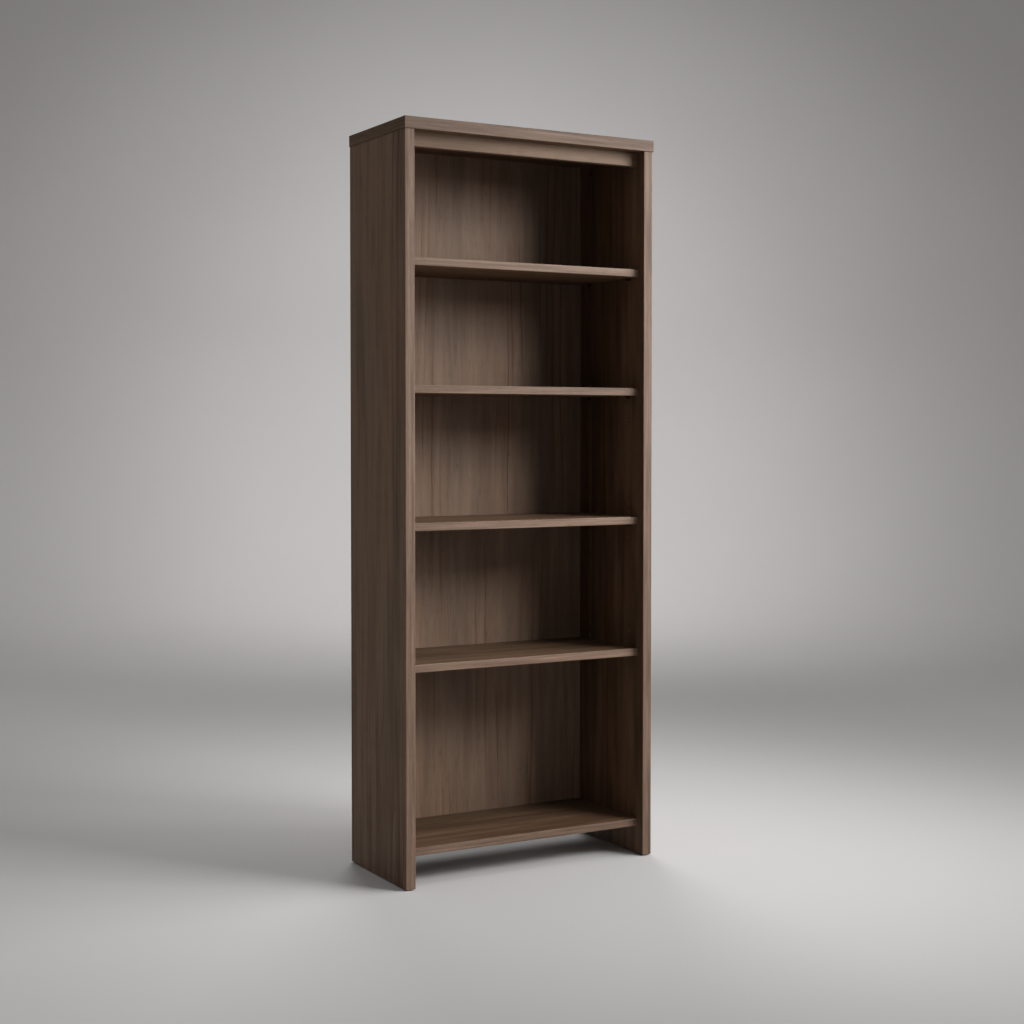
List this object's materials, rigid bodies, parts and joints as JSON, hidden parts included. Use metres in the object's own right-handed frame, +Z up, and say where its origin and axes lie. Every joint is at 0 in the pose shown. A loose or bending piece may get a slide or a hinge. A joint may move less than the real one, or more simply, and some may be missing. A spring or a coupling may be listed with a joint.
{
  "type": "bookcase",
  "caption": "Tall open-front bookcase with side panels, a slightly overhanging top, a recessed front rail, a fixed bottom shelf and lift-off shelves on pull-out pins.",
  "frame": {"origin": "on the floor, under the middle of the top panel's outline", "axes": "+Z up, +X from the left side panel to the right one as seen from the open front, +Y towards the back panel; the open front faces -Y"},
  "size_m": [0.692, 0.312, 1.8],
  "materials": {
    "laminate": "satin",
    "edge_band": "satin",
    "back_board": "satin",
    "pin_bronzed": "satin",
    "cam_bronzed": "satin",
    "fastener_steel": "satin",
    "dowel_beech": "matte",
    "glide_plastic": "matte"
  },
  "bodies": {
    "carcass": {"left_side_panel": "laminate", "right_side_panel": "laminate", "top_panel": "laminate", "bottom_shelf": "laminate", "front_rail": "laminate", "back_panel": "back_board", "left_side_edge_band": "edge_band", "right_side_edge_band": "edge_band", "top_front_edge_band": "edge_band", "top_left_edge_band": "edge_band", "top_right_edge_band": "edge_band", "bottom_shelf_edge_band": "edge_band", "front_rail_edge_band": "edge_band", "top_cam_locks": "cam_bronzed", "bottom_cam_locks": "cam_bronzed", "rail_cam_locks": "cam_bronzed", "top_cam_bolts": "fastener_steel", "bottom_cam_bolts": "fastener_steel", "rail_cam_bolts": "fastener_steel", "top_dowels": "dowel_beech", "bottom_dowels": "dowel_beech", "rail_dowels": "dowel_beech", "back_panel_nails": "fastener_steel", "glide_front_left": "glide_plastic", "glide_rear_left": "glide_plastic", "glide_front_right": "glide_plastic", "glide_rear_right": "glide_plastic"},
    "shelf_1": {"shelf_1": "laminate", "shelf_1_edge_band": "edge_band"},
    "shelf_2": {"shelf_2": "laminate", "shelf_2_edge_band": "edge_band"},
    "shelf_3": {"shelf_3": "laminate", "shelf_3_edge_band": "edge_band"},
    "shelf_4": {"shelf_4": "laminate", "shelf_4_edge_band": "edge_band"},
    "shelf_1_pin_front_left": {"shelf_1_pin_front_left": "pin_bronzed"},
    "shelf_1_pin_rear_left": {"shelf_1_pin_rear_left": "pin_bronzed"},
    "shelf_1_pin_front_right": {"shelf_1_pin_front_right": "pin_bronzed"},
    "shelf_1_pin_rear_right": {"shelf_1_pin_rear_right": "pin_bronzed"},
    "shelf_2_pin_front_left": {"shelf_2_pin_front_left": "pin_bronzed"},
    "shelf_2_pin_rear_left": {"shelf_2_pin_rear_left": "pin_bronzed"},
    "shelf_2_pin_front_right": {"shelf_2_pin_front_right": "pin_bronzed"},
    "shelf_2_pin_rear_right": {"shelf_2_pin_rear_right": "pin_bronzed"},
    "shelf_3_pin_front_left": {"shelf_3_pin_front_left": "pin_bronzed"},
    "shelf_3_pin_rear_left": {"shelf_3_pin_rear_left": "pin_bronzed"},
    "shelf_3_pin_front_right": {"shelf_3_pin_front_right": "pin_bronzed"},
    "shelf_3_pin_rear_right": {"shelf_3_pin_rear_right": "pin_bronzed"},
    "shelf_4_pin_front_left": {"shelf_4_pin_front_left": "pin_bronzed"},
    "shelf_4_pin_rear_left": {"shelf_4_pin_rear_left": "pin_bronzed"},
    "shelf_4_pin_front_right": {"shelf_4_pin_front_right": "pin_bronzed"},
    "shelf_4_pin_rear_right": {"shelf_4_pin_rear_right": "pin_bronzed"}
  },
  "joints": [
    {"name": "shelf_1_lift", "type": "slide", "parent": "carcass", "child": "shelf_1", "axis": [0, 0, 1], "range_m": [0, 0.303]},
    {"name": "shelf_2_lift", "type": "slide", "parent": "carcass", "child": "shelf_2", "axis": [0, 0, 1], "range_m": [0, 0.294]},
    {"name": "shelf_3_lift", "type": "slide", "parent": "carcass", "child": "shelf_3", "axis": [0, 0, 1], "range_m": [0, 0.268]},
    {"name": "shelf_4_lift", "type": "slide", "parent": "carcass", "child": "shelf_4", "axis": [0, 0, 1], "range_m": [0, 0.256]},
    {"name": "shelf_1_pin_front_left_pull", "type": "slide", "parent": "carcass", "child": "shelf_1_pin_front_left", "axis": [1, 0, 0], "range_m": [0, 0.009]},
    {"name": "shelf_1_pin_rear_left_pull", "type": "slide", "parent": "carcass", "child": "shelf_1_pin_rear_left", "axis": [1, 0, 0], "range_m": [0, 0.009]},
    {"name": "shelf_1_pin_front_right_pull", "type": "slide", "parent": "carcass", "child": "shelf_1_pin_front_right", "axis": [-1, 0, 0], "range_m": [0, 0.009]},
    {"name": "shelf_1_pin_rear_right_pull", "type": "slide", "parent": "carcass", "child": "shelf_1_pin_rear_right", "axis": [-1, 0, 0], "range_m": [0, 0.009]},
    {"name": "shelf_2_pin_front_left_pull", "type": "slide", "parent": "carcass", "child": "shelf_2_pin_front_left", "axis": [1, 0, 0], "range_m": [0, 0.009]},
    {"name": "shelf_2_pin_rear_left_pull", "type": "slide", "parent": "carcass", "child": "shelf_2_pin_rear_left", "axis": [1, 0, 0], "range_m": [0, 0.009]},
    {"name": "shelf_2_pin_front_right_pull", "type": "slide", "parent": "carcass", "child": "shelf_2_pin_front_right", "axis": [-1, 0, 0], "range_m": [0, 0.009]},
    {"name": "shelf_2_pin_rear_right_pull", "type": "slide", "parent": "carcass", "child": "shelf_2_pin_rear_right", "axis": [-1, 0, 0], "range_m": [0, 0.009]},
    {"name": "shelf_3_pin_front_left_pull", "type": "slide", "parent": "carcass", "child": "shelf_3_pin_front_left", "axis": [1, 0, 0], "range_m": [0, 0.009]},
    {"name": "shelf_3_pin_rear_left_pull", "type": "slide", "parent": "carcass", "child": "shelf_3_pin_rear_left", "axis": [1, 0, 0], "range_m": [0, 0.009]},
    {"name": "shelf_3_pin_front_right_pull", "type": "slide", "parent": "carcass", "child": "shelf_3_pin_front_right", "axis": [-1, 0, 0], "range_m": [0, 0.009]},
    {"name": "shelf_3_pin_rear_right_pull", "type": "slide", "parent": "carcass", "child": "shelf_3_pin_rear_right", "axis": [-1, 0, 0], "range_m": [0, 0.009]},
    {"name": "shelf_4_pin_front_left_pull", "type": "slide", "parent": "carcass", "child": "shelf_4_pin_front_left", "axis": [1, 0, 0], "range_m": [0, 0.009]},
    {"name": "shelf_4_pin_rear_left_pull", "type": "slide", "parent": "carcass", "child": "shelf_4_pin_rear_left", "axis": [1, 0, 0], "range_m": [0, 0.009]},
    {"name": "shelf_4_pin_front_right_pull", "type": "slide", "parent": "carcass", "child": "shelf_4_pin_front_right", "axis": [-1, 0, 0], "range_m": [0, 0.009]},
    {"name": "shelf_4_pin_rear_right_pull", "type": "slide", "parent": "carcass", "child": "shelf_4_pin_rear_right", "axis": [-1, 0, 0], "range_m": [0, 0.009]}
  ]
}
